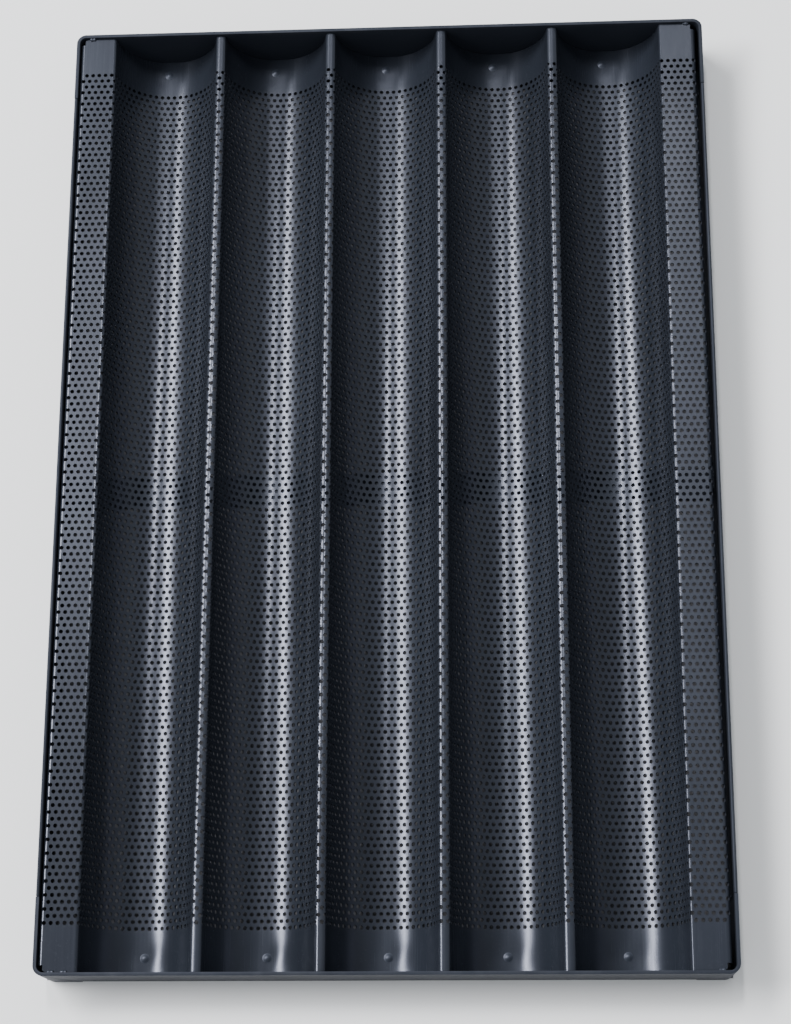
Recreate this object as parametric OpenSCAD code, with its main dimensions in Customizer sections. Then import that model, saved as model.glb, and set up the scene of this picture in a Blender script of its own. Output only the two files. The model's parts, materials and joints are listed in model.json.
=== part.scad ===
// Perforated baguette tray: a corrugated sheet with five channels, riveted and tacked into a strip frame.
// X runs across the tray, Y along it with the front at -Y, and Z up. The origin is the centre of the base.

/* [Tray] */
// Overall length, front to back
tray_l = 600; // [400:10:800]
// Overall width, side to side
tray_w = 400; // [394:1:420]
// Overall height, base to rim
tray_h = 36; // [36:0.5:45]
// Outer radius of the four upright corners
corner_r = 6; // [5:0.5:8]

/* [Frame strip] */
// Thickness of the frame strip
strip_t = 2; // [1.5:0.1:2.5]
// Width of the ledge that the end rails turn inwards, from the outer face
ledge_w = 22; // [18:1:30]
// Outer radius of the bend between an end wall and its ledge
ledge_bend_r = 3; // [2.6:0.1:4]
// How far the ledge stops short of each side wall
ledge_notch = 22; // [18:1:30]
// Distance from each end of the tray to the seam between end rail and side rail
seam_at = 45; // [20:1:80]

/* [Sheet] */
// Thickness of the perforated sheet
sheet_t = 1; // [0.8:0.1:1.2]
// Number of channels
channels = 5; // [5:1:5]
// Distance between the centres of neighbouring channels
channel_pitch = 70.7; // [70.4:0.1:71.5]
// How far the sheet sits to the right of the middle of the frame
sheet_shift = -1; // [-1:0.5:1]
// Depth of a channel, from the flange to its floor
channel_depth = 31; // [29:0.5:31]
// Radius of the channel's floor
channel_r = 32; // [31:0.5:32]
// Slope of the channel's side walls, in degrees from flat
wall_angle = 78; // [76:1:79]
// Outer radius of the bends along the ridges
ridge_bend_r = 1.8; // [1.5:0.1:1.9]
// Outer radius of the bend along the outer edge of each flange
lip_bend_r = 2.5; // [1.5:0.1:3]
// Depth of the turned-down lip below the flange
lip_depth = 10; // [6:1:14]
// How far the lip stops short of each end of the sheet
lip_notch = 4; // [4:1:12]
// Mean gap between a lip and the side wall beside it
side_gap = 1.3; // [1.3:0.1:2]
// Gap between the end of the sheet and the end wall
end_gap = 0.3; // [0.2:0.1:1]

/* [Rivets] */
// Distance from the front of the tray to the front rivets
inset_front = 13; // [9:1:14]
// Distance from the back of the tray to the back rivets
inset_back = 12; // [9:1:14]
// How far each front rivet sits to the right of its channel's centre
drift_front = [1, 2, 2, 0.5, -1]; // [-3:0.5:3]
// How far each back rivet sits to the right of its channel's centre
drift_back = [-2.5, -3, -1.5, -2.5, -2.5]; // [-3:0.5:3]
// Diameter of the rivet's shank
rivet_d = 3.2; // [2.4:0.1:4]
// Diameter of the domed head
head_d = 5.6; // [5:0.1:7]
// Height of the domed head
head_h = 1.4; // [0.8:0.1:1.6]
// Diameter of the countersunk tail
tail_d = 6; // [5:0.1:6.4]
// Depth of the countersunk tail
tail_h = 1.2; // [0.8:0.1:1.3]

/* [Brace and welds] */
// Width of the brace under the channels
brace_w = 20; // [12:1:30]
// Height of the brace's turned-up ends
brace_up = 14; // [8:1:18]
// Radius of the fillet weld over each end of the brace
brace_weld_r = 2; // [1:0.1:2.5]
// Radius of the bead that closes each frame seam
seam_weld_r = 1.1; // [0.6:0.1:1.1]
// Distance from each side of the tray to the tack weld at each end of a flange
tack_inset = 10; // [9:1:14]
// Radius of the tack welds
tack_r = 1.6; // [1:0.1:1.6]
// Length of each tack weld
tack_l = 4; // [2:0.5:6]

/* [Hidden] */
$fn = 96;

coating = "#23272d";
weld_metal = "#3a3e44";
rivet_metal = "#2c3036";

overlap = 0.02;
floor_z = strip_t + sheet_t;
flange_z = floor_z + channel_depth;
wall_l = (channel_depth - (ridge_bend_r + channel_r) * (1 - cos(wall_angle))) / sin(wall_angle);
wall_run = (ridge_bend_r + channel_r) * sin(wall_angle) + wall_l * cos(wall_angle);
ridge_flat = channel_pitch / 2 - wall_run;
sheet_w = tray_w - 2 * strip_t - 2 * side_gap;
sheet_l = tray_l - 2 * strip_t - 2 * end_gap;
inner_w = tray_w - 2 * strip_t;
inner_l = tray_l - 2 * strip_t;
seam_y = tray_l / 2 - seam_at;
seam_weld_top = flange_z - lip_depth - 2;
seam_weld_foot = 3;
brace_weld_l = brace_w - 4;
tack_x = tray_w / 2 - tack_inset;
tack_step = 7.5;
lip_bend_x = sheet_w / 2 - lip_bend_r;
notch_margin = 0.5;
flange_chamfer = 1;
bend_steps = 6;
channel_steps = 52;

function channel_x(i) = (i - (channels + 1) / 2) * channel_pitch;
function drift(i, end) = end < 0 ? drift_front[i - 1] : drift_back[i - 1];
function rivet_x(i, end) = sheet_shift + channel_x(i) + drift(i, end);
function rivet_y(end) = end * (tray_l / 2 - (end < 0 ? inset_front : inset_back));
function head_seat(reach) = channel_r - sqrt(channel_r * channel_r - reach * reach);

// Part of a flat ring between two angles less than 180 degrees apart
module ring_sector(r_in, r_out, from, to) {
    reach = 1.5 * r_out;
    steps = 6;
    intersection() {
        difference() {
            circle(r = r_out);
            circle(r = r_in);
        }
        polygon(concat([[0, 0]], [for (i = [0:steps])
            reach * [cos(from + (to - from) * i / steps), sin(from + (to - from) * i / steps)]]));
    }
}

// Points along an arc
function arc(centre, r, from, to, steps) = [for (i = [0:steps])
    centre + r * [cos(from + (to - from) * i / steps), sin(from + (to - from) * i / steps)]];

// Points across one channel from ridge to ridge, at depth t below the sheet's upper face
function channel_points(x, t) =
    let (bend_x = channel_pitch / 2 - ridge_flat, bend_z = flange_z - ridge_bend_r)
    concat(
        arc([x - bend_x, bend_z], ridge_bend_r - t, 90, 90 - wall_angle, bend_steps),
        arc([x, floor_z + channel_r], channel_r + t, 270 - wall_angle, 270 + wall_angle, channel_steps),
        arc([x + bend_x, bend_z], ridge_bend_r - t, 90 + wall_angle, 90, bend_steps));

// Points across the whole sheet from lip to lip, at depth t below its upper face
function sheet_points(t) = concat(
    [[t - sheet_w / 2, flange_z - lip_depth]],
    arc([-lip_bend_x, flange_z - lip_bend_r], lip_bend_r - t, 180, 90, bend_steps),
    [for (i = [1:channels]) each channel_points(channel_x(i), t)],
    arc([lip_bend_x, flange_z - lip_bend_r], lip_bend_r - t, 90, 0, bend_steps),
    [[sheet_w / 2 - t, flange_z - lip_depth]]);

module sheet_section() {
    lower = sheet_points(sheet_t);
    polygon(concat(sheet_points(0), [for (i = [len(lower) - 1:-1:0]) lower[i]]));
}

// What is cut off the sheet at its +X +Y corner: the end of the lip, and the flange's corner
module corner_cut() {
    notch_x = lip_bend_x - notch_margin;
    translate([notch_x, sheet_l / 2 - lip_notch, flange_z - lip_depth - 1])
        cube([lip_bend_r + notch_margin + 1, lip_notch + 1, lip_depth + 2]);
    translate([0, 0, flange_z - sheet_t - 1])
        linear_extrude(height = sheet_t + 2)
            polygon([[notch_x - flange_chamfer, sheet_l / 2], [notch_x - flange_chamfer, sheet_l / 2 + 1],
                [notch_x + 1, sheet_l / 2 + 1], [notch_x + 1, sheet_l / 2 - flange_chamfer],
                [notch_x, sheet_l / 2 - flange_chamfer]]);
}

module perforated_sheet() {
    color(coating)
    difference() {
        translate([sheet_shift, 0, 0])
            difference() {
                rotate([90, 0, 0])
                    linear_extrude(height = sheet_l, center = true)
                        sheet_section();
                for (x = [0, 1], y = [0, 1])
                    mirror([x, 0, 0])
                        mirror([0, y, 0])
                            corner_cut();
            }
        for (i = [1:channels], end = [-1, 1])
            translate([rivet_x(i, end), rivet_y(end), strip_t - 1])
                cylinder(h = sheet_t + 2, d = rivet_d);
    }
}

// Rounded rectangle, centred
module rounded_outline(w, l, r) {
    square([w - 2 * r, l], center = true);
    square([w, l - 2 * r], center = true);
    for (x = [-1, 1], y = [-1, 1])
        translate([x * (w / 2 - r), y * (l / 2 - r)])
            circle(r = r);
}

module frame_wall() {
    linear_extrude(height = tray_h)
        difference() {
            rounded_outline(tray_w, tray_l, corner_r);
            rounded_outline(inner_w, inner_l, corner_r - strip_t);
        }
}

// Ledge and the bend below the end wall, as a section from the outer face at 0
module ledge_section() {
    translate([ledge_bend_r, ledge_bend_r])
        ring_sector(ledge_bend_r - strip_t, ledge_bend_r, 180, 270);
    translate([ledge_bend_r - overlap, 0])
        square([ledge_w - ledge_bend_r + overlap, strip_t]);
    translate([0, ledge_bend_r - overlap])
        square([strip_t, 2 * overlap]);
}

module ledge_bores(end) {
    for (i = [1:channels])
        translate([rivet_x(i, end), rivet_y(end), 0]) {
            translate([0, 0, -1])
                cylinder(h = strip_t + 2, d = rivet_d);
            rivet_tail();
        }
}

// End rail with its ledge: end is -1 for the front one and 1 for the back one
module end_rail(end) {
    ledge_l = tray_w - 2 * ledge_notch;
    color(coating)
    difference() {
        mirror([0, end > 0 ? 1 : 0, 0]) {
            difference() {
                intersection() {
                    frame_wall();
                    translate([-tray_w / 2 - 1, -tray_l / 2 - 1, -1])
                        cube([tray_w + 2, seam_at + 1, tray_h + 2]);
                }
                translate([-ledge_l / 2, -tray_l / 2 - 1, -1])
                    cube([ledge_l, strip_t + 2, ledge_bend_r + 1]);
            }
            translate([-ledge_l / 2, -tray_l / 2, 0])
                rotate([90, 0, 90])
                    linear_extrude(height = ledge_l)
                        ledge_section();
        }
        ledge_bores(end);
    }
}

module right_rail() {
    color(coating)
    translate([inner_w / 2, -seam_y, 0])
        cube([strip_t, 2 * seam_y, tray_h]);
}

module left_rail() {
    mirror([1, 0, 0])
        right_rail();
}

module brace_end_section() {
    translate([inner_w / 2 - ledge_bend_r, ledge_bend_r])
        ring_sector(ledge_bend_r - strip_t, ledge_bend_r, 270, 360);
    translate([inner_w / 2 - strip_t, ledge_bend_r - overlap])
        square([strip_t, brace_up - ledge_bend_r + overlap]);
}

module cross_brace() {
    flat_w = inner_w - 2 * ledge_bend_r;
    color(coating)
    rotate([90, 0, 0])
        linear_extrude(height = brace_w, center = true) {
            translate([-flat_w / 2 - overlap, 0])
                square([flat_w + 2 * overlap, strip_t]);
            brace_end_section();
            mirror([1, 0])
                brace_end_section();
        }
}

// Countersunk tail of a rivet, flush with the base
module rivet_tail() {
    cylinder(h = tail_h, d1 = tail_d, d2 = rivet_d);
}

// Domed head, the cap of a sphere, standing on z = 0
module rivet_head() {
    dome_r = (head_d * head_d / 4 + head_h * head_h) / (2 * head_h);
    intersection() {
        translate([0, 0, head_h - dome_r])
            sphere(r = dome_r);
        cylinder(h = head_h + 1, d = head_d + 1);
    }
}

module rivet(i, end) {
    seat_z = floor_z + head_seat(abs(drift(i, end)) + head_d / 2);
    color(rivet_metal)
    translate([rivet_x(i, end), rivet_y(end), 0]) {
        rivet_tail();
        cylinder(h = seat_z + overlap, d = rivet_d);
        translate([0, 0, seat_z])
            rivet_head();
    }
}

// Quarter-round bead along X, in the corner between a floor and a wall on its -Y side
module quarter_bead(r, l) {
    rotate([90, 0, 90])
        linear_extrude(height = l, center = true)
            intersection() {
                circle(r = r);
                square(r + 1);
            }
}

module tack_weld(x, end) {
    color(weld_metal)
    mirror([0, end > 0 ? 1 : 0, 0])
        translate([x, -inner_l / 2, flange_z])
            quarter_bead(tack_r, tack_l);
}

// Half-round bead on the inner face of the side wall, over the seam
module seam_weld(side, end) {
    color(weld_metal)
    mirror([side > 0 ? 1 : 0, 0, 0])
        translate([-inner_w / 2, end * seam_y, seam_weld_foot])
            linear_extrude(height = seam_weld_top - seam_weld_foot)
                intersection() {
                    circle(r = seam_weld_r);
                    translate([0, -seam_weld_r - 1])
                        square([seam_weld_r + 1, 2 * seam_weld_r + 2]);
                }
}

module brace_weld(side) {
    color(weld_metal)
    mirror([side > 0 ? 1 : 0, 0, 0])
        translate([-inner_w / 2, 0, brace_up])
            rotate([0, 0, -90])
                quarter_bead(brace_weld_r, brace_weld_l);
}

perforated_sheet();
end_rail(-1);  // front_rail
end_rail(1);  // back_rail
left_rail();
right_rail();
cross_brace();
rivet(1, -1);  // rivet_front_1
rivet(2, -1);  // rivet_front_2
rivet(3, -1);  // rivet_front_3
rivet(4, -1);  // rivet_front_4
rivet(5, -1);  // rivet_front_5
rivet(1, 1);  // rivet_back_1
rivet(2, 1);  // rivet_back_2
rivet(3, 1);  // rivet_back_3
rivet(4, 1);  // rivet_back_4
rivet(5, 1);  // rivet_back_5
union() {  // tack_weld_front_left
    tack_weld(-tack_x, -1);
    tack_weld(-tack_x + tack_step, -1);
}
tack_weld(tack_x, -1);  // tack_weld_front_right
tack_weld(-tack_x, 1);  // tack_weld_back_left
tack_weld(tack_x, 1);  // tack_weld_back_right
seam_weld(-1, -1);  // seam_weld_front_left
seam_weld(1, -1);  // seam_weld_front_right
seam_weld(-1, 1);  // seam_weld_back_left
seam_weld(1, 1);  // seam_weld_back_right
brace_weld(-1);  // brace_weld_left
brace_weld(1);  // brace_weld_right
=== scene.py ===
"""Baguette tray: a coated, perforated, five-channel sheet riveted into a strip frame.

X runs across the tray, Y along it with the front at -Y, and Z up, in metres.
The sheet is drawn flat, with every hole cut through it, and then bent along its section.
The rails and the brace are the CAD's own, with rounded edges. Rivets and weld beads are made afresh.
"""

import json
import math

import bmesh
import bpy
import numpy as np
from mathutils import Matrix, Vector, noise

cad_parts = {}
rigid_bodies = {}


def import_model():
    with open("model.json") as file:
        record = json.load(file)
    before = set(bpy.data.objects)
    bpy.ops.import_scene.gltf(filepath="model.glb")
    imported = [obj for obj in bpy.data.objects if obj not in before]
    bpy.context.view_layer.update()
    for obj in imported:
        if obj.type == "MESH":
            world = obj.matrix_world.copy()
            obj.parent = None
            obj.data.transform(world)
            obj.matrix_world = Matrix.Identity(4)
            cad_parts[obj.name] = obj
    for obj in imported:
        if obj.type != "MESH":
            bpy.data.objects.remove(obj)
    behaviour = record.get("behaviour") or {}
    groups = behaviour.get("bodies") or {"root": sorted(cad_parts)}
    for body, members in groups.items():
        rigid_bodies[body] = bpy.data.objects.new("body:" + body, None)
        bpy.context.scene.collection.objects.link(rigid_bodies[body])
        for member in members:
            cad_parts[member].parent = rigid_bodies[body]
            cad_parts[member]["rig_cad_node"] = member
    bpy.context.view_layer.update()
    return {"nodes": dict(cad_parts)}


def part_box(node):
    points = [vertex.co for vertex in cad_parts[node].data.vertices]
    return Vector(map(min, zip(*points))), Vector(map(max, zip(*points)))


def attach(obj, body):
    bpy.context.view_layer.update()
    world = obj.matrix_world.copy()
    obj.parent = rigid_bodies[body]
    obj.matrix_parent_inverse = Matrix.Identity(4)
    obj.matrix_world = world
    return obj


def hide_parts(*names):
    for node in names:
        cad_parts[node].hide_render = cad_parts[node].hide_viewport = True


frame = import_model()

MM = 0.001
ENDS = ("front", "back")
SIDES = ("left", "right")


# ---------------------------------------------------------------- sizes from the frame
def middle_of(node):
    low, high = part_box(node)
    return (low + high) / 2


SHEET_LOW, SHEET_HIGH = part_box("perforated_sheet")
SHEET_MIDDLE = middle_of("perforated_sheet")
RAIL_LOW, RAIL_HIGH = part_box("front_rail")
CHANNELS = 5
CHANNEL_PITCH = 70.7 * MM
CHANNEL_X = [SHEET_MIDDLE.x + (i - (CHANNELS - 1) / 2) * CHANNEL_PITCH for i in range(CHANNELS)]
RIVETS = {(end, i): middle_of(f"rivet_{end}_{i + 1}") for end in ENDS for i in range(CHANNELS)}
FLANGE_Z = SHEET_HIGH.z
SHEET_T = 1 * MM
FLOOR_Z = SHEET_LOW.z + SHEET_T

# ---------------------------------------------------------------- section of the sheet
# The radii are those of the upper surface.
WALL_ANGLE = math.radians(78)
CHANNEL_R = 32 * MM
RIDGE_BEND_R = 1.8 * MM
LIP_BEND_R = 2.5 * MM
LIP_DEPTH = 10 * MM
CHANNEL_DEPTH = FLANGE_Z - FLOOR_Z
TURNING_R = RIDGE_BEND_R + CHANNEL_R
WALL_L = (CHANNEL_DEPTH - TURNING_R * (1 - math.cos(WALL_ANGLE))) / math.sin(WALL_ANGLE)
WALL_RUN = TURNING_R * math.sin(WALL_ANGLE) + WALL_L * math.cos(WALL_ANGLE)
RIDGE_FLAT = CHANNEL_PITCH - 2 * WALL_RUN
CREST_FLAT = 0.3 * MM
CREST_ANGLE = math.radians(30)
LEFT_BEND_X = SHEET_LOW.x + LIP_BEND_R
RIGHT_BEND_X = SHEET_HIGH.x - LIP_BEND_R
LIP_STEPS = 5
RIDGE_STEPS = 3
CROWN_STEPS = 2
SHOULDER_STEPS = 1

# ---------------------------------------------------------------- perforation
# A hole is an octagon with the area of the round hole.
HOLE_PITCH = 4.012 * MM
HOLE_D = 2.4 * MM
HOLE_SIDES = 8
HOLE_R = HOLE_D / 2 * math.sqrt(2 * math.pi / HOLE_SIDES / math.sin(2 * math.pi / HOLE_SIDES))
HOLE_ROWS = 136
FIELD_CENTRE_Y = 1.0 * MM
FIRST_HOLE_X = -195.0 * MM
FIELD_L = HOLE_ROWS * HOLE_PITCH

# ---------------------------------------------------------------- plain ends of the sheet
MARGIN_STEPS = 16
LIP_NOTCH = 4 * MM
FLANGE_CHAMFER = 1 * MM
NOTCH_MARGIN = 0.5 * MM

# ---------------------------------------------------------------- tolerances
# In metres, except for STRAIGHT, which is a curvature.
SAME_PLACE = 1e-7
NEAR = 1e-6
WELD_GRAIN = 2e-6
LINE_SNAP = 2e-5
STRAIGHT = 1e-9


class Section:
    """The middle surface of the sheet, as straight and curved runs placed end to end."""

    def __init__(self, start, heading):
        self.s = [0.0]
        self.point = [Vector(start)]
        self.heading = [heading]
        self.curve = []

    def straight(self, length):
        a = self.heading[-1]
        end = self.point[-1] + length * Vector((math.cos(a), math.sin(a)))
        self.add(length, 0.0, end, a)

    def turn(self, radius, angle):
        """A bend: a positive angle turns upwards, to the left of the heading."""
        a = self.heading[-1]
        b = a + angle
        side = math.copysign(1.0, angle)
        centre = self.point[-1] + side * radius * Vector((-math.sin(a), math.cos(a)))
        end = centre - side * radius * Vector((-math.sin(b), math.cos(b)))
        self.add(radius * abs(angle), side / radius, end, b)

    def add(self, length, curve, point, heading):
        self.s.append(self.s[-1] + length)
        self.curve.append(curve)
        self.point.append(point)
        self.heading.append(heading)

    def at(self, s):
        """Points and upward normals of the middle surface at the distances s along it."""
        starts = np.array(self.s)
        k = np.clip(np.searchsorted(starts, s, side="right") - 1, 0, len(self.curve) - 1)
        d = s - starts[k]
        a = np.array(self.heading)[k]
        c = np.array(self.curve)[k]
        p = np.array([tuple(q) for q in self.point])[k]
        b = a + c * d
        is_bend = np.abs(c) > STRAIGHT
        r = np.where(is_bend, 1 / np.where(is_bend, c, 1.0), 0.0)
        x = p[:, 0] + np.where(is_bend, r * (np.sin(b) - np.sin(a)), d * np.cos(a))
        z = p[:, 1] + np.where(is_bend, -r * (np.cos(b) - np.cos(a)), d * np.sin(a))
        return np.stack([x, z], 1), np.stack([-np.sin(b), np.cos(b)], 1)


def crest_radii():
    """The radii of a ridge's crowned top and of its shoulders, at the middle of the sheet.

    The shoulders meet the walls where the CAD's plain bends do."""
    bend_r = RIDGE_BEND_R - SHEET_T / 2
    run = (RIDGE_FLAT - CREST_FLAT) / 2 + bend_r * math.sin(WALL_ANGLE)
    drop = bend_r * (1 - math.cos(WALL_ANGLE))
    crown_run = math.sin(CREST_ANGLE)
    crown_drop = 1 - math.cos(CREST_ANGLE)
    shoulder_run = math.sin(WALL_ANGLE) - crown_run
    shoulder_drop = math.cos(CREST_ANGLE) - math.cos(WALL_ANGLE)
    scale = crown_run * shoulder_drop - shoulder_run * crown_drop
    crown = (run * shoulder_drop - drop * shoulder_run) / scale
    shoulder = (drop * crown_run - run * crown_drop) / scale
    return crown, shoulder


def half_ridge(at_flange):
    """Half a ridge: its flat, and its bends down to a channel's wall as radius, angle and steps.

    Next to a flange it is the CAD's plain bend."""
    if at_flange:
        return RIDGE_FLAT / 2, [(RIDGE_BEND_R - SHEET_T / 2, WALL_ANGLE, RIDGE_STEPS)]
    crown_r, shoulder_r = crest_radii()
    crown = (crown_r, CREST_ANGLE, CROWN_STEPS)
    shoulder = (shoulder_r, WALL_ANGLE - CREST_ANGLE, SHOULDER_STEPS)
    return CREST_FLAT / 2, [crown, shoulder]


def sheet_section():
    """The whole sheet from the lower edge of its left lip, and where its cuts and bends are."""
    half_t = SHEET_T / 2
    marks = {"bends": [], "ridges": []}
    sec = Section((SHEET_LOW.x + half_t, FLANGE_Z - LIP_DEPTH), math.pi / 2)

    def bend_down(radius, angle, steps):
        start = sec.s[-1]
        sec.turn(radius, -angle)
        marks["bends"] += list(np.linspace(start, sec.s[-1], steps + 1))

    sec.straight(LIP_DEPTH - LIP_BEND_R)
    bend_down(LIP_BEND_R - half_t, math.pi / 2, LIP_STEPS)
    marks["left_flange"] = sec.s[-1]
    sec.straight(CHANNEL_X[0] - CHANNEL_PITCH / 2 - LEFT_BEND_X)
    marks["ridges"].append(sec.s[-1])
    for i in range(CHANNELS):
        flat, bends = half_ridge(i == 0)
        sec.straight(flat)
        for bend in bends:
            bend_down(*bend)
        sec.straight(WALL_L)
        sec.turn(CHANNEL_R + half_t, 2 * WALL_ANGLE)
        sec.straight(WALL_L)
        flat, bends = half_ridge(i == CHANNELS - 1)
        for bend in reversed(bends):
            bend_down(*bend)
        sec.straight(flat)
        marks["ridges"].append(sec.s[-1])
    sec.straight(RIGHT_BEND_X - CHANNEL_X[-1] - CHANNEL_PITCH / 2)
    marks["right_flange"] = sec.s[-1]
    bend_down(LIP_BEND_R - half_t, math.pi / 2, LIP_STEPS)
    sec.straight(LIP_DEPTH - LIP_BEND_R)
    marks["end"] = sec.s[-1]
    return sec, marks


# ---------------------------------------------------------------- the flat, perforated sheet
# u runs across the flat sheet from the lower edge of its left lip, v along it, and w up.
ROUND_CELL = ((1, 0), (1, 1), (0, 1), (-1, 1), (-1, 0), (-1, -1), (0, -1), (1, -1))


def hole_cell(bm, u, v, corner, layers):
    """One square of sheet round one hole: its upper and lower face and the hole's wall."""
    half = HOLE_PITCH / 2
    rings = []
    for w in layers:
        outer = [corner(u + half * a, v + half * b, w) for a, b in ROUND_CELL]
        inner = [bm.verts.new((u + HOLE_R * math.cos(t), v + HOLE_R * math.sin(t), w))
                 for t in np.arange(HOLE_SIDES) * 2 * math.pi / HOLE_SIDES]
        rings.append((outer, inner))
    (top_out, top_in), (low_out, low_in) = rings
    for i in range(HOLE_SIDES):
        j = (i + 1) % HOLE_SIDES
        bm.faces.new((top_out[i], top_out[j], top_in[j], top_in[i]))
        bm.faces.new((low_out[j], low_out[i], low_in[i], low_in[j]))
        bm.faces.new((top_in[i], top_in[j], low_in[j], low_in[i]))


def plain_cell(bm, outline, corner, layers):
    """A plain polygon of sheet, given anticlockwise from above: its upper and lower face."""
    bm.faces.new([corner(u, v, layers[0]) for u, v in outline])
    bm.faces.new([corner(u, v, layers[1]) for u, v in reversed(outline)])


def two_rows(section_end, first_hole):
    """Two staggered rows of holes right across the flat sheet, which repeat along it.

    Beside its holes each row has a plain cell at both ends. Where the other row reaches half a pitch
    further, that cell gets the other row's corners too, so that the rows share all their points."""
    bm = bmesh.new()
    known = {}
    layers = (0.0, -SHEET_T)
    half = HOLE_PITCH / 2

    def corner(u, v, w):
        key = (round(u / NEAR), round(v / NEAR), w)
        if key not in known:
            known[key] = bm.verts.new((u, v, w))
        return known[key]

    first = (first_hole, first_hole + half)
    room = section_end - (LIP_DEPTH - LIP_BEND_R) - half
    holes = [math.ceil((room - u) / HOLE_PITCH) for u in first]
    right_edges = [u - half + n * HOLE_PITCH for u, n in zip(first, holes)]
    for row in (0, 1):
        v = (row - 0.5) * HOLE_PITCH
        left = first[row] - half
        before = [left - half] if row else []
        front_side = [(u, v - half) for u in (0, *before, left)]
        back_side = [(u, v + half) for u in (left, *before, 0)]
        plain_cell(bm, front_side + [(left, v)] + back_side, corner, layers)
        for n in range(holes[row]):
            hole_cell(bm, first[row] + n * HOLE_PITCH, v, corner, layers)
        right = right_edges[row]
        beyond = [right + half] if right < max(right_edges) - NEAR else []
        front_side = [(u, v - half) for u in (right, *beyond, section_end)]
        back_side = [(u, v + half) for u in (section_end, *beyond, right)]
        plain_cell(bm, front_side + back_side + [(right, v)], corner, layers)
    bmesh.ops.triangulate(bm, faces=[f for f in bm.faces if len(f.verts) > 4])
    return bm


def cut_lines(bm, lines):
    """Cuts the strip's faces along each u, so that the sheet can bend there."""
    for u in dict.fromkeys(lines):
        geometry = bm.verts[:] + bm.edges[:] + bm.faces[:]
        bmesh.ops.bisect_plane(bm, geom=geometry, dist=LINE_SNAP, plane_co=(u, 0, 0), plane_no=(1, 0, 0))


def clipped(bm, low, high):
    """A copy of the strip between two values of u."""
    part = bm.copy()
    for u, side in ((low, -1), (high, 1)):
        geometry = part.verts[:] + part.edges[:] + part.faces[:]
        bmesh.ops.bisect_plane(part, geom=geometry, dist=SAME_PLACE, plane_co=(u, 0, 0),
                               plane_no=(side, 0, 0), clear_outer=True)
    return part


def wall_between_layers(bm, u):
    """Closes the sheet's thickness along the line u, where it has been cut."""
    def place(v):
        return round(v.co.y / SAME_PLACE)

    def on_layer(v, z):
        return abs(v.co.x - u) < SAME_PLACE and abs(v.co.z - z) < SAME_PLACE

    lower = {place(v): v for v in bm.verts if on_layer(v, -SHEET_T)}
    for e in bm.edges[:]:
        if all(on_layer(v, 0) for v in e.verts) and len(e.link_faces) == 1:
            loop = next(q for q in e.link_faces[0].loops if q.edge == e)
            end, start = loop.link_loop_next.vert, loop.vert
            below_start, below_end = lower.get(place(start)), lower.get(place(end))
            if below_start and below_end:
                bm.faces.new((end, start, below_start, below_end))


def snapped(values):
    """The values, with those that hardly differ made equal."""
    order = np.argsort(values)
    ranked = values[order]
    is_new = np.concatenate([[True], np.diff(ranked) > NEAR])
    result = np.empty_like(values)
    result[order] = ranked[is_new][np.cumsum(is_new) - 1]
    return result


def strip_arrays(bm):
    """The strip's points, and its faces as corner counts and one list of corners."""
    bm.verts.index_update()
    points = np.array([v.co for v in bm.verts], float)
    points[:, 0] = snapped(points[:, 0])
    counts = np.array([len(f.verts) for f in bm.faces])
    corners = np.array([v.index for f in bm.faces for v in f.verts])
    return points, counts, corners


def repeated(points, counts, corners, period, times):
    """The strip repeated along v, as arrays."""
    n = len(points)
    shift = np.arange(times) * period
    every = np.tile(points, (times, 1))
    every[:, 1] += np.repeat(shift, n)
    faces = np.tile(corners, times) + np.repeat(np.arange(times) * n, len(corners))
    return every, np.tile(counts, times), faces


def welded(points, counts, corners):
    """Joins the points that are at the same place."""
    keys = np.round(points / WELD_GRAIN).astype(np.int64)
    _, first, back = np.unique(keys, axis=0, return_index=True, return_inverse=True)
    return points[first], counts, back.ravel()[corners]


def margin_grid(line, v_from, v_to, notch):
    """The places of a margin's grid points, and which of its cells there are.

    line holds the u of the points along the edge of the perforated field. notch is the u beyond which
    the sheet stops short by LIP_NOTCH, and the side (-1 left, 1 right) on which that is."""
    v = v_from + (v_to - v_from) * np.linspace(0, 1, MARGIN_STEPS + 1)
    keep = np.ones((MARGIN_STEPS, len(line) - 1), bool)
    if not notch:
        return *np.meshgrid(line, v), keep
    u_notch, side = notch
    direction = math.copysign(1.0, v_to - v_from)
    k = int(np.argmin(np.abs(np.abs(v - v_to) - LIP_NOTCH)))
    v[k] = v_to - direction * LIP_NOTCH
    uu, vv = np.meshgrid(line, v)
    middle = (line[1:] + line[:-1]) / 2
    keep[k:, (middle - u_notch) * side > 0] = False
    chamfered = np.clip(1 - np.abs(line - u_notch) / FLANGE_CHAMFER, 0, 1)
    chamfered[(line - u_notch) * side > SAME_PLACE] = 1
    share = np.clip((vv - v[k]) / (v_to - v[k]), 0, 1)
    return uu, vv - direction * share * chamfered[None, :] * FLANGE_CHAMFER, keep


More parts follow.
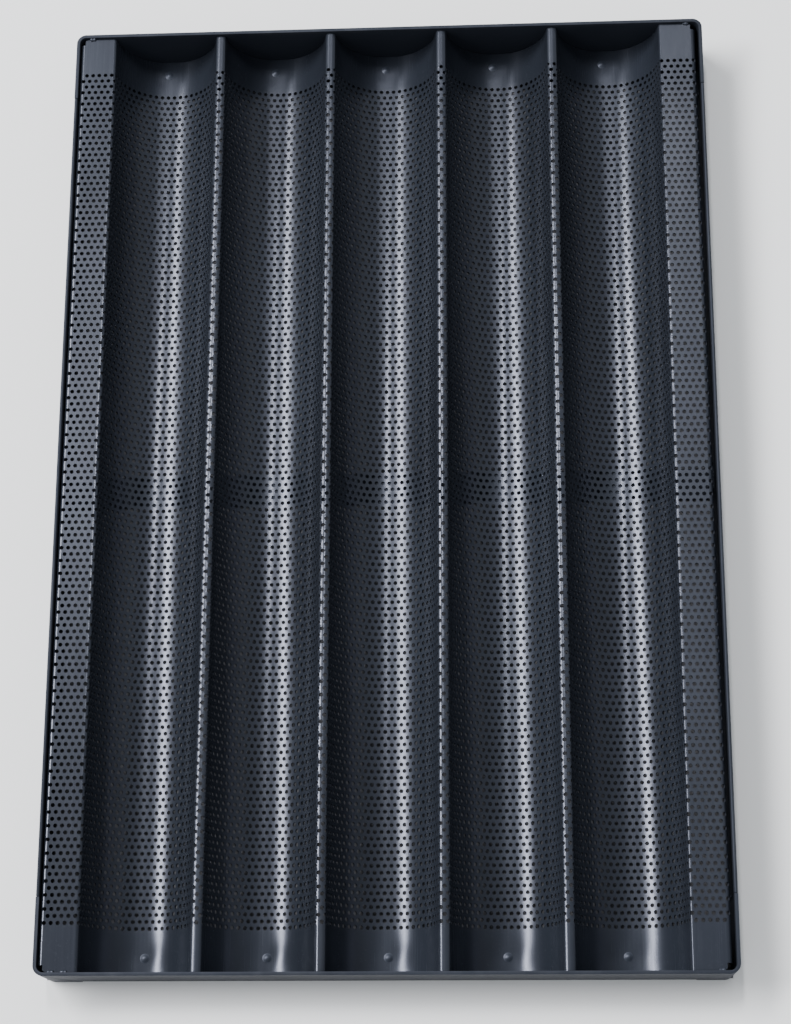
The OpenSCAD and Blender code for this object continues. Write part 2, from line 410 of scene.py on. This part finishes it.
def margin(line, v_from, v_to, notch=None):
    """The plain end of the sheet, beyond the holes: a grid between two values of v."""
    uu, vv, keep = margin_grid(line, v_from, v_to, notch)
    size = uu.size
    ids = np.arange(size).reshape(uu.shape)
    rows, columns = keep.shape
    points = [np.stack([uu.ravel(), vv.ravel(), np.full(size, w)], 1) for w in (0.0, -SHEET_T)]
    counts, corners = [], []

    def quad(a, b, c, d):
        counts.append(4)
        corners.extend((a, b, c, d) if v_to > v_from else (d, c, b, a))

    for r in range(rows):
        for q in range(columns):
            if not keep[r, q]:
                continue
            a, b, c, d = ids[r, q], ids[r, q + 1], ids[r + 1, q + 1], ids[r + 1, q]
            quad(a, b, c, d)
            quad(d + size, c + size, b + size, a + size)
            if q == 0 or not keep[r, q - 1]:
                quad(d, d + size, a + size, a)
            if q == columns - 1 or not keep[r, q + 1]:
                quad(b, b + size, c + size, c)
            if r == rows - 1 or not keep[r + 1, q]:
                quad(c, c + size, d + size, d)
    return np.concatenate(points), np.array(counts), np.array(corners)


def flat_piece(strip, u_low, u_high, notch=None):
    """A length of the flat sheet between two values of u, with all its rows and both plain ends."""
    part = clipped(strip, u_low, u_high)
    wall_between_layers(part, u_low)
    wall_between_layers(part, u_high)
    points, counts, corners = strip_arrays(part)
    part.free()
    on_edge = (np.abs(points[:, 1] + HOLE_PITCH) < SAME_PLACE) & (np.abs(points[:, 2]) < SAME_PLACE)
    edge = np.unique(points[on_edge, 0])
    start = FIELD_CENTRE_Y - FIELD_L / 2
    points[:, 1] += start + HOLE_PITCH
    parts = [repeated(points, counts, corners, 2 * HOLE_PITCH, HOLE_ROWS // 2),
             margin(edge, start, SHEET_LOW.y, notch),
             margin(edge, start + FIELD_L, SHEET_HIGH.y, notch)]
    all_points, all_counts, all_corners = zip(*parts)
    offsets = np.cumsum([0] + [len(p) for p in all_points])
    shifted = [c + offset for c, offset in zip(all_corners, offsets)]
    return welded(np.concatenate(all_points), np.concatenate(all_counts), np.concatenate(shifted))


# ---------------------------------------------------------------- bending the sheet
DISH_R = {"front": 8 * MM, "back": 13 * MM}
DISH_HEIGHT = 6 * MM
CHART_EDGE = 0.005
CUT_EDGE = "cut_edge"
SHEET_SHARP = math.radians(50)


def bent(section, flat):
    """Bends the flat sheet along its section and presses it flat onto the ledges at the rivets.

    Only what stands less than DISH_HEIGHT above the channel's floor goes all the way down."""
    middle, normal = section.at(flat[:, 0])
    away = flat[:, 2] + SHEET_T / 2
    x = middle[:, 0] + normal[:, 0] * away
    z = middle[:, 1] + normal[:, 1] * away
    y = flat[:, 1].copy()
    height = middle[:, 1] - (FLOOR_Z - SHEET_T / 2)
    for (end, _), rivet in RIVETS.items():
        near = np.exp(-((x - rivet.x) / DISH_R[end]) ** 2 - ((y - rivet.y) / DISH_R[end]) ** 2)
        z -= near * np.minimum(height, DISH_HEIGHT)
    return np.stack([x, y, z], 1)


def mesh_from_arrays(name, points, counts, corners):
    mesh = bpy.data.meshes.new(name)
    mesh.vertices.add(len(points))
    mesh.vertices.foreach_set("co", points.astype(np.float32).ravel())
    mesh.loops.add(len(corners))
    mesh.loops.foreach_set("vertex_index", corners.astype(np.int32))
    mesh.polygons.add(len(counts))
    starts = np.concatenate([[0], np.cumsum(counts)[:-1]])
    mesh.polygons.foreach_set("loop_start", starts.astype(np.int32))
    mesh.update(calc_edges=True)
    mesh.validate()
    return mesh


def lay_out(mesh, flat):
    """Adds a texture map of the flat sheet, and marks the faces that are cut edges.

    The top lies beside the underside, and a hole's walls lie inside the hole."""
    corners = np.empty(len(mesh.loops), np.int32)
    mesh.loops.foreach_get("vertex_index", corners)
    starts = np.empty(len(mesh.polygons), np.int32)
    mesh.polygons.foreach_get("loop_start", starts)
    counts = np.diff(np.append(starts, len(corners)))
    face = np.repeat(np.arange(len(counts)), counts)
    at = flat[corners]
    following = np.arange(1, len(corners) + 1)
    following[starts + counts - 1] = starts
    normal = np.add.reduceat(np.cross(at, at[following]), starts)
    normal /= np.linalg.norm(normal, axis=1)[:, None]
    middle = np.add.reduceat(at, starts) / counts[:, None]
    is_wall = np.abs(normal[:, 2]) < 0.5
    is_under = normal[:, 2] < -0.5
    place = at[:, :2].copy()
    # The lower edge of a hole's wall is drawn halfway to the hole's middle.
    inner = is_wall[face] & (at[:, 2] < -SHEET_T / 2)
    place[inner] = (place + middle[face][:, :2] + normal[face][:, :2] * HOLE_R)[inner] / 2
    low, high = place.min(axis=0), place.max(axis=0)
    chart = CHART_EDGE + (place - low) / (high - low) * (0.5 - 2 * CHART_EDGE, 1 - 2 * CHART_EDGE)
    chart[is_under[face], 0] += 0.5
    layer = mesh.uv_layers.new(name="OFBake")
    layer.uv.foreach_set("vector", chart.astype(np.float32).ravel())
    cut = mesh.attributes.new(CUT_EDGE, "FLOAT", "FACE")
    cut.data.foreach_set("value", is_wall.astype(np.float32))


def shade(mesh, sharp_above):
    """Shades the mesh smooth, except over edges with a sharper angle than the one given."""
    mesh.polygons.foreach_set("use_smooth", [True] * len(mesh.polygons))
    mesh.set_sharp_from_angle(angle=sharp_above)


def build_sheet():
    """The sheet, as meshes that meet along the middle of its ridges: a single one is too big to export."""
    section, marks = sheet_section()
    on_flange = marks["left_flange"] + FIRST_HOLE_X - LEFT_BEND_X
    strip = two_rows(marks["end"], on_flange)
    notch_left = marks["left_flange"] + NOTCH_MARGIN
    notch_right = marks["right_flange"] - NOTCH_MARGIN
    cut_lines(strip, marks["bends"] + [notch_left, notch_right])
    ridges = marks["ridges"]
    spans = [("sheet_flange_left", 0.0, ridges[0], (notch_left, -1))]
    spans += [(f"sheet_channel_{i + 1}", ridges[i], ridges[i + 1], None) for i in range(CHANNELS)]
    spans += [("sheet_flange_right", ridges[-1], marks["end"], (notch_right, 1))]
    pieces = []
    for name, low, high, notch in spans:
        flat, counts, corners = flat_piece(strip, low, high, notch)
        mesh = mesh_from_arrays(name, bent(section, flat), counts, corners)
        lay_out(mesh, flat)
        shade(mesh, SHEET_SHARP)
        piece = bpy.data.objects.new(name, mesh)
        bpy.context.scene.collection.objects.link(piece)
        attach(piece, "root")
        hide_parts("perforated_sheet")
        pieces.append(piece)
    strip.free()
    return pieces


# ---------------------------------------------------------------- frame, rivets and welds
EDGE_R = 0.8 * MM
EDGE_SEGMENTS = 4
FLAT_BELOW = math.radians(1)
SHARP_ABOVE = math.radians(35)


def soften(node):
    """Rounds the sharp edges of a CAD node that keeps its shape."""
    weld = node.modifiers.new("weld", "WELD")
    weld.merge_threshold = NEAR
    flat = node.modifiers.new("flat", "DECIMATE")
    flat.decimate_type = "DISSOLVE"
    flat.angle_limit = FLAT_BELOW
    bevel = node.modifiers.new("edges", "BEVEL")
    bevel.width = EDGE_R
    bevel.segments = EDGE_SEGMENTS
    bevel.limit_method = "ANGLE"
    bevel.angle_limit = SHARP_ABOVE
    bevel.harden_normals = True
    node.data.polygons.foreach_set("use_smooth", [True] * len(node.data.polygons))


def new_piece(name, bm, replaced, sharp_above):
    """A visible piece that takes the place of the CAD node named by replaced."""
    mesh = bpy.data.meshes.new(name)
    bmesh.ops.recalc_face_normals(bm, faces=bm.faces)
    bm.to_mesh(mesh)
    bm.free()
    shade(mesh, sharp_above)
    o = bpy.data.objects.new(name, mesh)
    bpy.context.scene.collection.objects.link(o)
    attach(o, "root")
    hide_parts(replaced)
    return o


RIVET_SEGMENTS = 40
RIVET_SHARP = math.radians(70)
HEAD_D = 5.6 * MM
HEAD_H = 1.0 * MM
HEAD_RINGS = 14
HEAD_EDGE = 0.06
HEAD_FULLNESS = 1.3
HEAD_LEAN = 0.09
HEAD_UNEVEN = 0.05
HEAD_LUMPS = 1.7
HEAD_SEAT = 0.1 * MM
SHANK_D = 3.2 * MM
TAIL_D = 6 * MM
TAIL_H = 1.2 * MM
TAIL_CHAMFER = 0.1 * MM
DIMPLE_D = 0.5 * TAIL_D
DIMPLE_H = 0.25 * MM
JUST_OFF = 0.02 * MM

# Every rivet and bead takes its unevenness from a place of its own in the noise.
SEED_STEP = 97
ELSEWHERE = Vector((5, 0, 0))
BEAD_SEED_X = 3.1
BEAD_SEED_Y = 1.7


def rivet_profile():
    """Half section of a set rivet, from the top of its head down to the dimple in its tail."""
    dome = []
    for t in np.linspace(0, 1, HEAD_RINGS):
        rise = HEAD_EDGE + (1 - HEAD_EDGE) * math.cos(t * math.pi / 2) ** HEAD_FULLNESS
        dome.append((HEAD_D / 2 * t, FLOOR_Z + HEAD_H * rise))
    rim = [(HEAD_D / 2, FLOOR_Z + JUST_OFF)]
    shank = [(SHANK_D / 2, FLOOR_Z - HEAD_SEAT), (SHANK_D / 2, TAIL_H)]
    tail = [(TAIL_D / 2 - TAIL_CHAMFER, TAIL_CHAMFER), (TAIL_D / 2 - 2 * TAIL_CHAMFER, JUST_OFF)]
    dimple = [(DIMPLE_D / 2, 0.0), (0.4 * DIMPLE_D, 0.6 * DIMPLE_H), (0, DIMPLE_H)]
    return dome + rim + shank + tail + dimple


def rivet(end, i):
    """A set rivet. Each one is struck a little differently."""
    node = f"rivet_{end}_{i + 1}"
    place = RIVETS[end, i]
    seed = Vector((place.x, place.y, 0)) * SEED_STEP
    lean = Vector((noise.noise(seed), noise.noise(seed + ELSEWHERE), 0)) * HEAD_LEAN
    bm = bmesh.new()
    rings = []
    for r, z in rivet_profile():
        ring = []
        for k in range(RIVET_SEGMENTS if r > 0 else 1):
            a = 2 * math.pi * k / RIVET_SEGMENTS
            out = Vector((math.cos(a), math.sin(a), 0))
            on_head = max(0.0, (z - FLOOR_Z) / HEAD_H)
            uneven = 1 + HEAD_UNEVEN * on_head * noise.noise(out * HEAD_LUMPS + seed)
            top = z + on_head * r * out.dot(lean)
            ring.append(bm.verts.new((place.x + r * uneven * out.x, place.y + r * uneven * out.y, top)))
        rings.append(ring)
    for upper, lower in zip(rings, rings[1:]):
        n = max(len(upper), len(lower))
        for k in range(n):
            corners = [upper[k % len(upper)], lower[k % len(lower)],
                       lower[(k + 1) % len(lower)], upper[(k + 1) % len(upper)]]
            unique = list(dict.fromkeys(corners))
            if len(unique) > 2:
                bm.faces.new(unique)
    return new_piece(node + "_set", bm, node, RIVET_SHARP)


BEAD_SIDES = 14
BEAD_STEP = 0.35 * MM
BEAD_SHARP = math.radians(60)
LEAST_RINGS = 12
TIP = 0.04
RIPPLE = 0.10
WANDER = 0.18
WANDERS_PER_LUMP = 0.7
SWAY = 0.15


def bead(bm, start, end, radius, lumps, seed, out):
    """A run of weld metal from start to end: overlapping ripples with rounded ends.

    out is the direction the bead stands proud in."""
    axis = (end - start).normalized()
    side = axis.cross(out)
    length = (end - start).length
    rings = max(LEAST_RINGS, int(length / BEAD_STEP))
    made = []
    for i in range(rings + 1):
        t = i / rings
        cap = math.sqrt(max(0.0, 1 - (2 * t - 1) ** 8))
        ripple = 1 + RIPPLE * math.sin(lumps * 2 * math.pi * t + seed)
        wander = noise.noise(Vector((t * lumps * WANDERS_PER_LUMP, seed, 0)))
        r = radius * max(cap, TIP) * ripple * (1 + WANDER * wander)
        centre = start + axis * length * t + side * radius * SWAY * wander
        made.append([bm.verts.new(centre + r * (math.cos(a) * out + math.sin(a) * side))
                     for a in np.linspace(0, 2 * math.pi, BEAD_SIDES, endpoint=False)])
    for a, b in zip(made, made[1:]):
        for k in range(BEAD_SIDES):
            j = (k + 1) % BEAD_SIDES
            bm.faces.new((a[k], a[j], b[j], b[k]))
    bm.faces.new(made[0])
    bm.faces.new(list(reversed(made[-1])))


def weld_piece(node, runs, radius, lumps, out):
    """One or more beads that take the place of a weld's CAD node."""
    bm = bmesh.new()
    for n, (start, end) in enumerate(runs):
        seed = BEAD_SEED_X * start.x / MM + BEAD_SEED_Y * start.y / MM + n
        bead(bm, start, end, radius, lumps, seed, out)
    return new_piece(node + "_bead", bm, node, BEAD_SHARP)


TACK_L = 4 * MM
TACK_R = 1.15 * MM
TACK_IN = 0.3 * MM
TACK_UP = 0.1 * MM
SEAM_WELD_R = 1.05 * MM
BRACE_WELD_R = 1.5 * MM
BRACE_WELD_IN = 0.5 * MM
BRACE_WELD_UP = 0.3 * MM


def tack_weld(end, side):
    """The tack welds between the end of a flange and the end wall."""
    node = f"tack_weld_{end}_{side}"
    low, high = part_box(node)
    wall = -1 if end == "front" else 1
    y = (low.y if wall < 0 else high.y) - wall * TACK_IN
    z = FLANGE_Z + TACK_UP
    is_single = high.x - low.x < 1.5 * TACK_L
    starts = [low.x] if is_single else [low.x, high.x - TACK_L]
    runs = [(Vector((x, y, z)), Vector((x + TACK_L, y, z))) for x in starts]
    out = Vector((0, -wall, 1)).normalized()
    return weld_piece(node, runs, TACK_R, lumps=1.6, out=out)


def seam_weld(end, side):
    """The bead that closes the seam between an end rail and a side rail, on its inner face."""
    node = f"seam_weld_{end}_{side}"
    low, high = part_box(node)
    inwards = 1 if side == "left" else -1
    x = low.x if side == "left" else high.x
    y = (low.y + high.y) / 2
    run = (Vector((x, y, low.z)), Vector((x, y, high.z)))
    return weld_piece(node, [run], SEAM_WELD_R, lumps=12, out=Vector((inwards, 0, 0)))


def brace_weld(side):
    """The fillet over the turned-up end of the brace."""
    node = f"brace_weld_{side}"
    low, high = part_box(node)
    inwards = 1 if side == "left" else -1
    x = (low.x if side == "left" else high.x) + inwards * BRACE_WELD_IN
    z = low.z + BRACE_WELD_UP
    run = (Vector((x, low.y, z)), Vector((x, high.y, z)))
    out = Vector((inwards, 0, 1)).normalized()
    return weld_piece(node, [run], BRACE_WELD_R, lumps=8, out=out)


# ---------------------------------------------------------------- materials
# Places of a Mix node's share, colours and mixed colour, which have the same names as its other sockets.
MIX_SHARE, MIX_A, MIX_B, MIX_RESULT = 0, 6, 7, 2
SPAN_INPUTS = ("Value", "From Min", "From Max", "To Min", "To Max")


class Nodes:
    """Short calls for building a material's node tree."""

    def __init__(self, name):
        self.material = bpy.data.materials.new(name)
        self.material.use_nodes = True
        self.tree = self.material.node_tree
        self.shader = self.tree.nodes["Principled BSDF"]
        self.place = self.tree.nodes.new("ShaderNodeTexCoord").outputs["Object"]

    def new(self, kind, **inputs):
        node = self.tree.nodes.new("ShaderNode" + kind)
        for key, value in inputs.items():
            self.put(node, key.replace("_", " "), value)
        return node

    def put(self, node, key, value):
        if hasattr(value, "is_output"):
            self.tree.links.new(value, node.inputs[key])
        else:
            node.inputs[key].default_value = value

    def stretched(self, scale):
        node = self.new("Mapping", Vector=self.place)
        node.inputs["Scale"].default_value = scale
        return node.outputs["Vector"]

    def noise(self, scale, detail, rough=0.55):
        """Noise with the given number of features per metre along X, Y and Z."""
        place = self.stretched(scale)
        node = self.new("TexNoise", Vector=place, Scale=1.0, Detail=detail, Roughness=rough)
        return node.outputs["Fac"]

    def span(self, value, low, high, to_low, to_high):
        """Maps low..high to to_low..to_high, and holds the ends."""
        node = self.tree.nodes.new("ShaderNodeMapRange")
        node.clamp = True
        for key, v in zip(SPAN_INPUTS, (value, low, high, to_low, to_high)):
            self.put(node, key, v)
        return node.outputs["Result"]

    def mix(self, share, a, b):
        node = self.tree.nodes.new("ShaderNodeMix")
        node.data_type = "RGBA"
        self.put(node, MIX_SHARE, share)
        for index, v in ((MIX_A, a), (MIX_B, b)):
            self.put(node, index, v if hasattr(v, "is_output") else (*v, 1))
        return node.outputs[MIX_RESULT]

    def math(self, operation, a, b):
        node = self.tree.nodes.new("ShaderNodeMath")
        node.operation = operation
        self.put(node, 0, a)
        self.put(node, 1, b)
        return node.outputs[0]

    def face_value(self, name):
        """A number kept on the faces of the mesh; 0 on a mesh without it."""
        node = self.tree.nodes.new("ShaderNodeAttribute")
        node.attribute_name = name
        return node.outputs["Fac"]

    def height(self):
        """The height above the base, in metres."""
        node = self.new("SeparateXYZ", Vector=self.place)
        return node.outputs["Z"]

    def bump(self, height, depth, under=None):
        node = self.new("Bump", Height=height, Strength=1.0, Distance=depth)
        if under is not None:
            self.put(node, "Normal", under)
        return node.outputs["Normal"]


COATING_IOR = 1.45
COOL_SHEEN = (0.79, 0.83, 1.0, 1)
DARK = (0.0105, 0.0125, 0.0170)
LESS_DARK = [1.5 * c for c in DARK]
WORN = (0.032, 0.035, 0.043)

# Features of the coating, as a number per metre along X, Y and Z.
ALONG_Y = (1500, 12, 1500)
ALONG_X = (12, 1500, 1500)
ROUND_STRIP = (12, 12, 1500)
PATCHES = (14, 6, 14)
RUBBED = (60, 12, 60)
SPECKLE = (900, 900, 900)
GRAIN = (1600, 1600, 1600)

RUBBED_BAND = 1.2 * MM
STREAK_DEPTH = 0.006 * MM
GRAIN_DEPTH = 0.004 * MM
PATCH_SPREAD = 0.03
STREAK_SPREAD = 0.025
RUBBED_SHINE = 0.05
CUT_MATT = 0.6


def satin_coating(name, dark, rough, streaks, gloss=0.5):
    """Satin non-stick coating over rolled metal, rubbed in places along the top edges.

    dark is its colour, rough its roughness, gloss how much it mirrors, and streaks the number of
    rolling lines per metre along X, Y and Z. The walls of cut holes are darker and matt."""
    n = Nodes(name)
    patches = n.noise(PATCHES, detail=4)
    speckle = n.noise(SPECKLE, detail=2)
    lines = n.noise(streaks, detail=3, rough=0.6)
    grain = n.noise(GRAIN, detail=2, rough=0.5)
    at_top = n.span(n.height(), FLANGE_Z - RUBBED_BAND, FLANGE_Z, 0, 1)
    uneven = n.span(n.noise(RUBBED, detail=5, rough=0.65), 0.45, 0.72, 0, 1)
    rubbed = n.math("MULTIPLY", at_top, uneven)
    colour = n.mix(n.span(patches, 0.3, 0.7, 0, 1), dark, [1.5 * c for c in dark])
    colour = n.mix(n.span(speckle, 0.62, 0.75, 0, 0.5), colour, WORN)
    colour = n.mix(n.math("MULTIPLY", rubbed, 0.5), colour, WORN)
    cut = n.face_value(CUT_EDGE)
    n.put(n.shader, "Base Color", n.mix(cut, colour, [0.5 * c for c in dark]))
    by_patch = n.span(patches, 0.25, 0.75, rough - PATCH_SPREAD, rough + PATCH_SPREAD)
    by_line = n.span(lines, 0.3, 0.7, -STREAK_SPREAD, STREAK_SPREAD)
    roughness = n.math("ADD", by_patch, by_line)
    roughness = n.math("SUBTRACT", roughness, n.math("MULTIPLY", rubbed, RUBBED_SHINE))
    n.put(n.shader, "Roughness", n.math("ADD", roughness, n.math("MULTIPLY", cut, CUT_MATT)))
    streaked = n.bump(lines, STREAK_DEPTH)
    n.put(n.shader, "Normal", n.bump(grain, GRAIN_DEPTH, streaked))
    n.shader.inputs["IOR"].default_value = COATING_IOR
    n.shader.inputs["Specular IOR Level"].default_value = gloss
    n.shader.inputs["Specular Tint"].default_value = COOL_SHEEN
    return n.material


def use(piece, material):
    """Puts the material on a piece: in every slot of a CAD node, or as a new piece's only one."""
    if "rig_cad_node" in piece and piece.material_slots:
        for material_slot in piece.material_slots:
            material_slot.material = material
    else:
        piece.data.materials.clear()
        piece.data.materials.append(material)


# ---------------------------------------------------------------- studio
LIGHT_DISTANCE = 4.0
LAMP_COLOUR = (0.97, 0.98, 1.0)
SURROUND_COLOUR = (0.92, 0.96, 1.0, 1)
BAND_INNER = 0.10
BAND_OUTER = 0.25
FLOOR_HALF = 4.0
PALE = (0.85, 0.85, 0.85)
# Painted shade: the floor's colour where the tray covers it, standing in for the tray's shadow.
PAINTED_SHADE_UNDER_TRAY = (0.11, 0.11, 0.12)
SHADE_INSET = 1 * MM
FLOOR_ROUGHNESS = 0.95
FLOOR_GLOSS = 0.1


def floor():
    """A plain pale floor, with painted shade where the tray covers it, so that the holes show dark."""
    mesh = bpy.data.meshes.new("floor")
    s = FLOOR_HALF
    mesh.from_pydata([(-s, -s, 0), (s, -s, 0), (s, s, 0), (-s, s, 0)], [], [(0, 1, 2, 3)])
    o = bpy.data.objects.new("floor", mesh)
    bpy.context.scene.collection.objects.link(o)
    n = Nodes("floor")
    split = n.new("SeparateXYZ", Vector=n.place)
    off_x = n.math("ABSOLUTE", split.outputs["X"], 0.0)
    off_y = n.math("ABSOLUTE", split.outputs["Y"], 0.0)
    inside_x = n.math("LESS_THAN", off_x, RAIL_HIGH.x - SHADE_INSET)
    inside_y = n.math("LESS_THAN", off_y, -RAIL_LOW.y - SHADE_INSET)
    # Painted shade: the floor is darkened wherever the tray covers it.
    painted_shade_mask = n.math("MULTIPLY", inside_x, inside_y)
    n.put(n.shader, "Base Color", n.mix(painted_shade_mask, PALE, PAINTED_SHADE_UNDER_TRAY))
    n.shader.inputs["Roughness"].default_value = FLOOR_ROUGHNESS
    n.shader.inputs["Specular IOR Level"].default_value = FLOOR_GLOSS
    use(o, n.material)


def softbox(name, across, along, half_across, half_along, roll, irradiance):
    """A softbox that the tray sees across and along degrees from overhead.

    Its half angles give its size, and roll turns its far end to the right, all in degrees. irradiance
    is what it adds at the tray's middle."""
    a = math.radians(across)
    b = math.radians(along)
    toward = Vector((math.sin(a) * math.cos(b), math.sin(b), math.cos(a) * math.cos(b)))
    data = bpy.data.lights.new(name, "AREA")
    data.shape = "RECTANGLE"
    data.size = 2 * LIGHT_DISTANCE * math.tan(math.radians(half_across))
    data.size_y = 2 * LIGHT_DISTANCE * math.tan(math.radians(half_along))
    data.energy = irradiance * math.pi * LIGHT_DISTANCE ** 2
    data.color = LAMP_COLOUR
    o = bpy.data.objects.new(name, data)
    bpy.context.scene.collection.objects.link(o)
    o.location = toward * LIGHT_DISTANCE
    side = Vector((0, 1, 0)).cross(toward).normalized()
    upright = Matrix((side, toward.cross(side), toward)).transposed()
    o.rotation_euler = (upright @ Matrix.Rotation(-math.radians(roll), 3, "Z")).to_euler()


def world(overhead, around):
    """A soft surround, dimmer in a band that crosses overhead from left to right."""
    w = bpy.data.worlds.new("studio")
    w.use_nodes = True
    tree = w.node_tree
    direction = tree.nodes.new("ShaderNodeSeparateXYZ")
    tree.links.new(tree.nodes.new("ShaderNodeTexCoord").outputs["Generated"], direction.inputs[0])
    along = tree.nodes.new("ShaderNodeMath")
    along.operation = "ABSOLUTE"
    tree.links.new(direction.outputs["Y"], along.inputs[0])
    band = tree.nodes.new("ShaderNodeMapRange")
    tree.links.new(along.outputs[0], band.inputs["Value"])
    for key, value in zip(SPAN_INPUTS[1:], (BAND_INNER, BAND_OUTER, overhead, around)):
        band.inputs[key].default_value = value
    background = tree.nodes["Background"]
    background.inputs["Color"].default_value = SURROUND_COLOUR
    tree.links.new(band.outputs["Result"], background.inputs["Strength"])
    bpy.context.scene.world = w


CAMERA_AT = Vector((72.5, -416.7, 1227.7)) * MM
CAMERA_TURNS = [math.radians(a) for a in (15.73, 3.06, -0.73)]
SENSOR_MM = 36
FOCAL_MM = 73.8
SHIFT_UP = 0.086


def camera():
    """The photograph's viewpoint, above the front of the tray and a little to the right."""
    data = bpy.data.cameras.new("camera")
    data.lens = FOCAL_MM
    data.sensor_width = SENSOR_MM
    data.shift_y = SHIFT_UP
    o = bpy.data.objects.new("camera", data)
    bpy.context.scene.collection.objects.link(o)
    o.location = CAMERA_AT
    o.rotation_mode = "ZYX"
    o.rotation_euler = CAMERA_TURNS
    bpy.context.scene.camera = o


def build_tray():
    sheet_coat = satin_coating("coated_sheet", DARK, rough=0.25, streaks=ALONG_Y)
    strip_coat = satin_coating("coated_strip", DARK, rough=0.55, streaks=ROUND_STRIP, gloss=0.25)
    brace_coat = satin_coating("coated_brace", DARK, rough=0.55, streaks=ALONG_X, gloss=0.25)
    rivet_coat = satin_coating("coated_rivet", LESS_DARK, rough=0.42, streaks=ALONG_X)
    weld_coat = satin_coating("coated_weld", LESS_DARK, rough=0.36, streaks=ALONG_X)
    for piece in build_sheet():
        use(piece, sheet_coat)
    for name in ("front_rail", "back_rail", "left_rail", "right_rail"):
        use(frame["nodes"][name], strip_coat)
        soften(frame["nodes"][name])
    use(frame["nodes"]["cross_brace"], brace_coat)
    soften(frame["nodes"]["cross_brace"])
    for end, i in RIVETS:
        use(rivet(end, i), rivet_coat)
    for side in SIDES:
        use(brace_weld(side), weld_coat)
        for end in ENDS:
            use(tack_weld(end, side), weld_coat)
            use(seam_weld(end, side), weld_coat)


build_tray()
floor()
world(overhead=0.35, around=0.75)
softbox("key", across=-38, along=12.5, half_across=5.2, half_along=19, roll=30, irradiance=5.9)
softbox("fill", across=-5, along=20, half_across=1.6, half_along=5, roll=0, irradiance=1.1)
softbox("haze", across=8, along=30, half_across=6, half_along=5, roll=0, irradiance=0.15)
camera()
